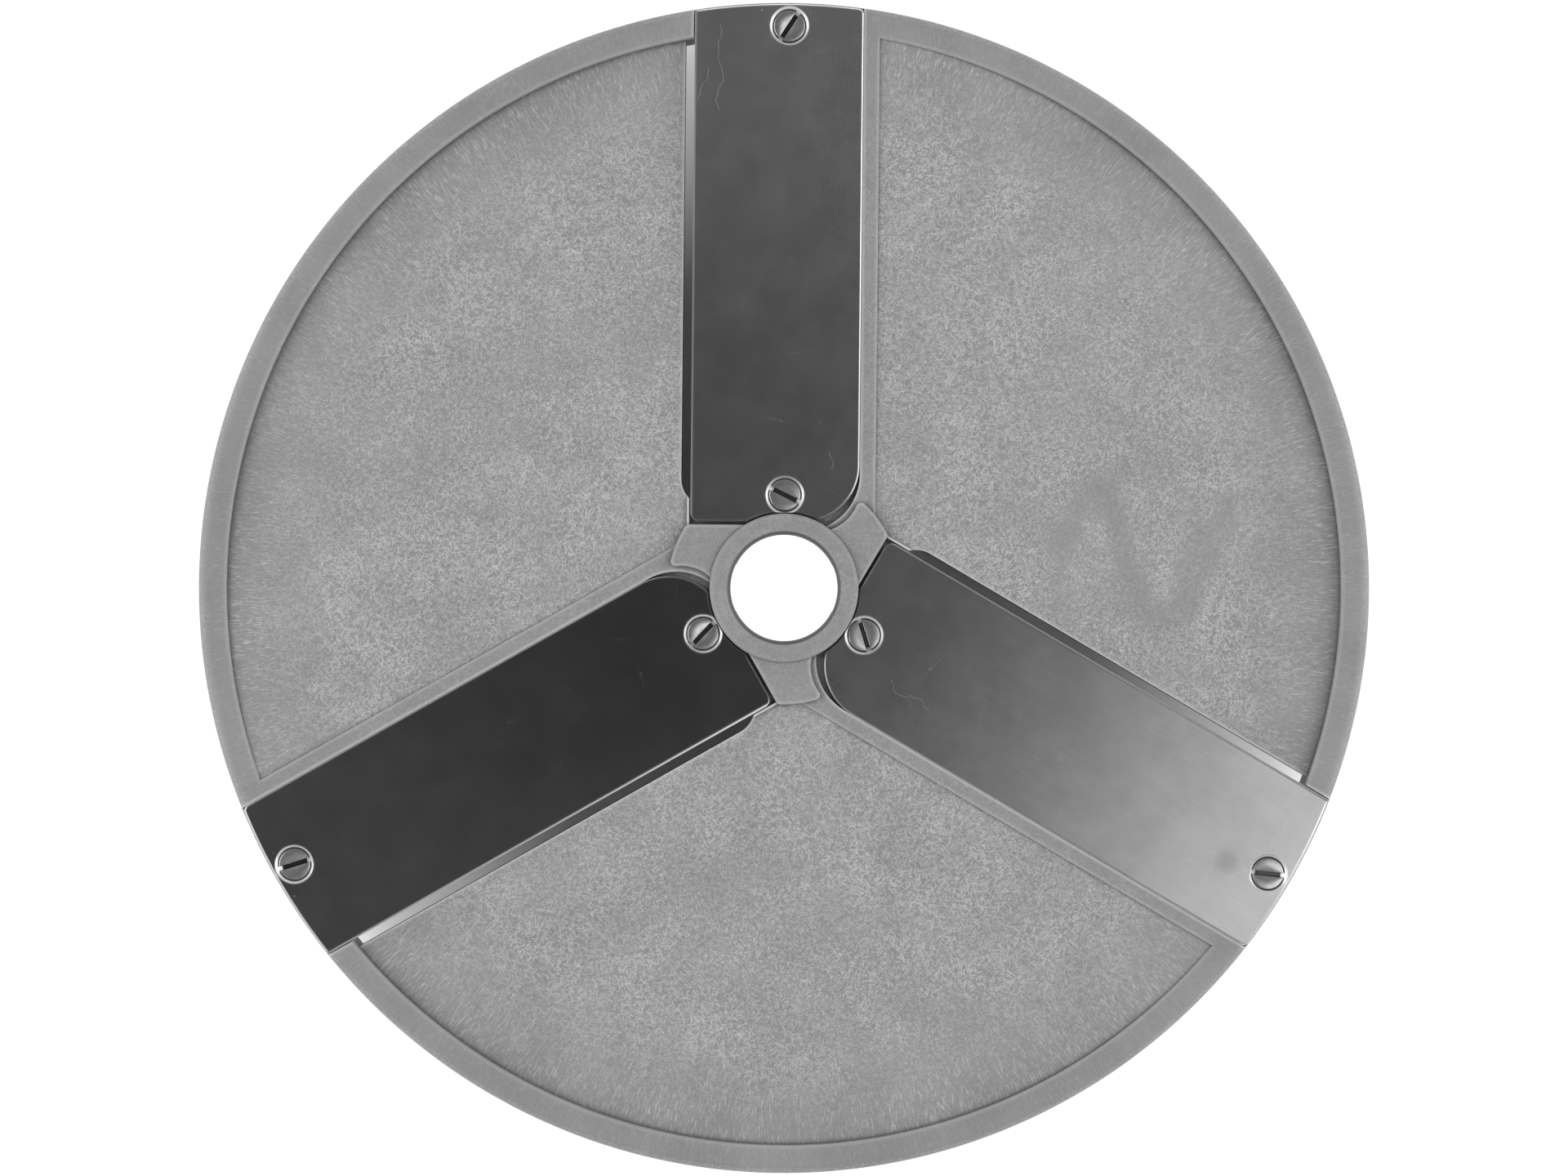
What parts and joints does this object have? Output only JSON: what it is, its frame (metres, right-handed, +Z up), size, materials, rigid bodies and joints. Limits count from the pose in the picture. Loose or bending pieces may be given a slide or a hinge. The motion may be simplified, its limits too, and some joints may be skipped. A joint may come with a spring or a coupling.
{
  "type": "vegetable slicing disc",
  "caption": "Round moulded plastic slicing disc: flat ground steel blades set in its top face, each over a throat, between a raised rim and a collar round the central drive bore.",
  "frame": {"origin": "on the axis of the disc, in the plane of the hub's foot that the disc stands on", "axes": "+Z up along the axis to the blade side, +Y along the first blade, away from the hub; the other blades follow clockwise as seen from above"},
  "size_m": [0.205, 0.205, 0.023],
  "materials": {
    "moulding": "glass-fibre-filled nylon, as moulded, mid grey with fine fibre marks",
    "blade_steel": "ground and honed stainless blade steel, satin",
    "screw_steel": "turned stainless steel",
    "insert_brass": "turned brass"
  },
  "bodies": {
    "root": {"disc_body": "moulding", "blade_1": "blade_steel", "blade_2": "blade_steel", "blade_3": "blade_steel", "outer_screw_1": "screw_steel", "inner_screw_1": "screw_steel", "outer_screw_2": "screw_steel", "inner_screw_2": "screw_steel", "outer_screw_3": "screw_steel", "inner_screw_3": "screw_steel", "outer_insert_1": "insert_brass", "inner_insert_1": "insert_brass", "outer_insert_2": "insert_brass", "inner_insert_2": "insert_brass", "outer_insert_3": "insert_brass", "inner_insert_3": "insert_brass"}
  },
  "joints": []
}
